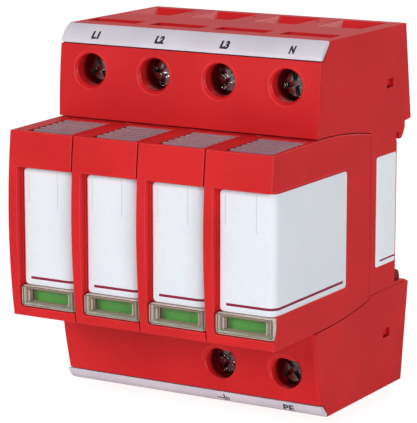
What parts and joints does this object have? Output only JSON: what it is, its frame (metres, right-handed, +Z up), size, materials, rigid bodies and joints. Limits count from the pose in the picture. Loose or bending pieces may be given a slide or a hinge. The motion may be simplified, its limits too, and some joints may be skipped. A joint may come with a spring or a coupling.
{
  "type": "din rail surge arrester",
  "caption": "Rail-mounted surge arrester: a red terminal base with plug-in modules, each with a ribbed release key and a green indicator window.",
  "frame": {"origin": "on the plane of the rail's front face, at the middle of the rail's height and of the width", "axes": "+X to the right seen from the front, +Y back towards the rail, +Z up"},
  "size_m": [0.0716, 0.0714, 0.09],
  "materials": {
    "red_plastic": "fine satin moulding, signal red",
    "dark_red_plastic": "fine satin moulding, dark red",
    "white_plastic": "smooth, slightly cool white",
    "grey_plastic": "fine satin moulding, mid grey",
    "clear_plastic": "clear polished moulding",
    "green_plastic": "plain green",
    "tinned_copper": "tin-plated copper strip",
    "zinc_steel": "zinc-plated steel",
    "spring_copper": "bare copper alloy strip",
    "varistor_coating": "blue epoxy dip coating"
  },
  "bodies": {
    "base": {"base_housing": "red_plastic", "rear_cover": "red_plastic", "top_marking_strip": "white_plastic", "bottom_marking_strip": "white_plastic", "line_contact_1": "tinned_copper", "line_contact_2": "tinned_copper", "line_contact_3": "tinned_copper", "line_contact_4": "tinned_copper", "earth_busbar": "tinned_copper", "latch_spring": "zinc_steel"},
    "latch": {"rail_latch": "dark_red_plastic"},
    "line_1_screw": {"line_1_clamp_screw": "zinc_steel"},
    "line_1_cage": {"line_1_clamp_cage": "zinc_steel"},
    "line_2_screw": {"line_2_clamp_screw": "zinc_steel"},
    "line_2_cage": {"line_2_clamp_cage": "zinc_steel"},
    "line_3_screw": {"line_3_clamp_screw": "zinc_steel"},
    "line_3_cage": {"line_3_clamp_cage": "zinc_steel"},
    "line_4_screw": {"line_4_clamp_screw": "zinc_steel"},
    "line_4_cage": {"line_4_clamp_cage": "zinc_steel"},
    "earth_1_screw": {"earth_1_clamp_screw": "zinc_steel"},
    "earth_1_cage": {"earth_1_clamp_cage": "zinc_steel"},
    "earth_2_screw": {"earth_2_clamp_screw": "zinc_steel"},
    "earth_2_cage": {"earth_2_clamp_cage": "zinc_steel"},
    "module_1": {"module_1_housing": "red_plastic", "module_1_back_plate": "dark_red_plastic", "module_1_window": "clear_plastic", "module_1_varistor": "varistor_coating", "module_1_line_blade": "tinned_copper", "module_1_earth_blade": "tinned_copper"},
    "module_1_key": {"module_1_release_key": "grey_plastic"},
    "module_1_flag": {"module_1_indicator_flag": "green_plastic"},
    "module_1_arm": {"module_1_disconnector_arm": "spring_copper"},
    "module_2": {"module_2_housing": "red_plastic", "module_2_back_plate": "dark_red_plastic", "module_2_window": "clear_plastic", "module_2_varistor": "varistor_coating", "module_2_line_blade": "tinned_copper", "module_2_earth_blade": "tinned_copper"},
    "module_2_key": {"module_2_release_key": "grey_plastic"},
    "module_2_flag": {"module_2_indicator_flag": "green_plastic"},
    "module_2_arm": {"module_2_disconnector_arm": "spring_copper"},
    "module_3": {"module_3_housing": "red_plastic", "module_3_back_plate": "dark_red_plastic", "module_3_window": "clear_plastic", "module_3_varistor": "varistor_coating", "module_3_line_blade": "tinned_copper", "module_3_earth_blade": "tinned_copper"},
    "module_3_key": {"module_3_release_key": "grey_plastic"},
    "module_3_flag": {"module_3_indicator_flag": "green_plastic"},
    "module_3_arm": {"module_3_disconnector_arm": "spring_copper"},
    "module_4": {"module_4_housing": "red_plastic", "module_4_back_plate": "dark_red_plastic", "module_4_window": "clear_plastic", "module_4_varistor": "varistor_coating", "module_4_line_blade": "tinned_copper", "module_4_earth_blade": "tinned_copper"},
    "module_4_key": {"module_4_release_key": "grey_plastic"},
    "module_4_flag": {"module_4_indicator_flag": "green_plastic"},
    "module_4_arm": {"module_4_disconnector_arm": "spring_copper"}
  },
  "joints": [
    {"name": "latch_slide", "type": "slide", "parent": "base", "child": "latch", "axis": [0, 0, -1], "range_m": [0, 0.003], "stiffness_N_per_m": 800, "springref_m": -0.002, "deforming": ["latch_spring"]},
    {"name": "line_1_screw_turn", "type": "hinge", "parent": "base", "child": "line_1_screw", "pos_m": [-0.027, -0.0359, 0.0344], "axis": [0, 1, 0], "range_deg": [0, 2700]},
    {"name": "line_1_cage_slide", "type": "slide", "parent": "base", "child": "line_1_cage", "axis": [0, -1, 0], "range_m": [0, 0.006]},
    {"name": "line_2_screw_turn", "type": "hinge", "parent": "base", "child": "line_2_screw", "pos_m": [-0.009, -0.0359, 0.0344], "axis": [0, 1, 0], "range_deg": [0, 2700]},
    {"name": "line_2_cage_slide", "type": "slide", "parent": "base", "child": "line_2_cage", "axis": [0, -1, 0], "range_m": [0, 0.006]},
    {"name": "line_3_screw_turn", "type": "hinge", "parent": "base", "child": "line_3_screw", "pos_m": [0.009, -0.0359, 0.0344], "axis": [0, 1, 0], "range_deg": [0, 2700]},
    {"name": "line_3_cage_slide", "type": "slide", "parent": "base", "child": "line_3_cage", "axis": [0, -1, 0], "range_m": [0, 0.006]},
    {"name": "line_4_screw_turn", "type": "hinge", "parent": "base", "child": "line_4_screw", "pos_m": [0.027, -0.0359, 0.0344], "axis": [0, 1, 0], "range_deg": [0, 2700]},
    {"name": "line_4_cage_slide", "type": "slide", "parent": "base", "child": "line_4_cage", "axis": [0, -1, 0], "range_m": [0, 0.006]},
    {"name": "earth_1_screw_turn", "type": "hinge", "parent": "base", "child": "earth_1_screw", "pos_m": [0.009, -0.0359, -0.0344], "axis": [0, 1, 0], "range_deg": [0, 2700]},
    {"name": "earth_1_cage_slide", "type": "slide", "parent": "base", "child": "earth_1_cage", "axis": [0, -1, 0], "range_m": [0, 0.006]},
    {"name": "earth_2_screw_turn", "type": "hinge", "parent": "base", "child": "earth_2_screw", "pos_m": [0.027, -0.0359, -0.0344], "axis": [0, 1, 0], "range_deg": [0, 2700]},
    {"name": "earth_2_cage_slide", "type": "slide", "parent": "base", "child": "earth_2_cage", "axis": [0, -1, 0], "range_m": [0, 0.006]},
    {"name": "module_1_pull_out", "type": "slide", "parent": "base", "child": "module_1", "axis": [0, -1, 0], "range_m": [0, 0.035]},
    {"name": "module_1_key_press", "type": "hinge", "parent": "module_1", "child": "module_1_key", "pos_m": [-0.027, -0.0284, 0.01832], "axis": [1, 0, 0], "range_deg": [0, 5], "stiffness_Nm_per_rad": 1.5, "springref_deg": -1.15},
    {"name": "module_1_arm_release", "type": "hinge", "parent": "module_1", "child": "module_1_arm", "pos_m": [-0.027, -0.027, -0.0127], "axis": [-1, 0, 0], "range_deg": [0, 7.6]},
    {"name": "module_1_flag_lift", "type": "slide", "parent": "module_1", "child": "module_1_flag", "axis": [0, 0, 1], "range_m": [0, 0.0042]},
    {"name": "module_2_pull_out", "type": "slide", "parent": "base", "child": "module_2", "axis": [0, -1, 0], "range_m": [0, 0.035]},
    {"name": "module_2_key_press", "type": "hinge", "parent": "module_2", "child": "module_2_key", "pos_m": [-0.009, -0.0284, 0.01832], "axis": [1, 0, 0], "range_deg": [0, 5], "stiffness_Nm_per_rad": 1.5, "springref_deg": -1.15},
    {"name": "module_2_arm_release", "type": "hinge", "parent": "module_2", "child": "module_2_arm", "pos_m": [-0.009, -0.027, -0.0127], "axis": [-1, 0, 0], "range_deg": [0, 7.6]},
    {"name": "module_2_flag_lift", "type": "slide", "parent": "module_2", "child": "module_2_flag", "axis": [0, 0, 1], "range_m": [0, 0.0042]},
    {"name": "module_3_pull_out", "type": "slide", "parent": "base", "child": "module_3", "axis": [0, -1, 0], "range_m": [0, 0.035]},
    {"name": "module_3_key_press", "type": "hinge", "parent": "module_3", "child": "module_3_key", "pos_m": [0.009, -0.0284, 0.01832], "axis": [1, 0, 0], "range_deg": [0, 5], "stiffness_Nm_per_rad": 1.5, "springref_deg": -1.15},
    {"name": "module_3_arm_release", "type": "hinge", "parent": "module_3", "child": "module_3_arm", "pos_m": [0.009, -0.027, -0.0127], "axis": [-1, 0, 0], "range_deg": [0, 7.6]},
    {"name": "module_3_flag_lift", "type": "slide", "parent": "module_3", "child": "module_3_flag", "axis": [0, 0, 1], "range_m": [0, 0.0042]},
    {"name": "module_4_pull_out", "type": "slide", "parent": "base", "child": "module_4", "axis": [0, -1, 0], "range_m": [0, 0.035]},
    {"name": "module_4_key_press", "type": "hinge", "parent": "module_4", "child": "module_4_key", "pos_m": [0.027, -0.0284, 0.01832], "axis": [1, 0, 0], "range_deg": [0, 5], "stiffness_Nm_per_rad": 1.5, "springref_deg": -1.15},
    {"name": "module_4_arm_release", "type": "hinge", "parent": "module_4", "child": "module_4_arm", "pos_m": [0.027, -0.027, -0.0127], "axis": [-1, 0, 0], "range_deg": [0, 7.6]},
    {"name": "module_4_flag_lift", "type": "slide", "parent": "module_4", "child": "module_4_flag", "axis": [0, 0, 1], "range_m": [0, 0.0042]}
  ],
  "couplings": [
    {"joint": "line_1_screw_turn", "follows": "line_1_cage_slide", "rad_per_m": 7854},
    {"joint": "line_2_screw_turn", "follows": "line_2_cage_slide", "rad_per_m": 7854},
    {"joint": "line_3_screw_turn", "follows": "line_3_cage_slide", "rad_per_m": 7854},
    {"joint": "line_4_screw_turn", "follows": "line_4_cage_slide", "rad_per_m": 7854},
    {"joint": "earth_1_screw_turn", "follows": "earth_1_cage_slide", "rad_per_m": 7854},
    {"joint": "earth_2_screw_turn", "follows": "earth_2_cage_slide", "rad_per_m": 7854},
    {"joint": "module_1_arm_release", "follows": "module_1_flag_lift", "rad_per_m": 31.582},
    {"joint": "module_2_arm_release", "follows": "module_2_flag_lift", "rad_per_m": 31.582},
    {"joint": "module_3_arm_release", "follows": "module_3_flag_lift", "rad_per_m": 31.582},
    {"joint": "module_4_arm_release", "follows": "module_4_flag_lift", "rad_per_m": 31.582}
  ]
}
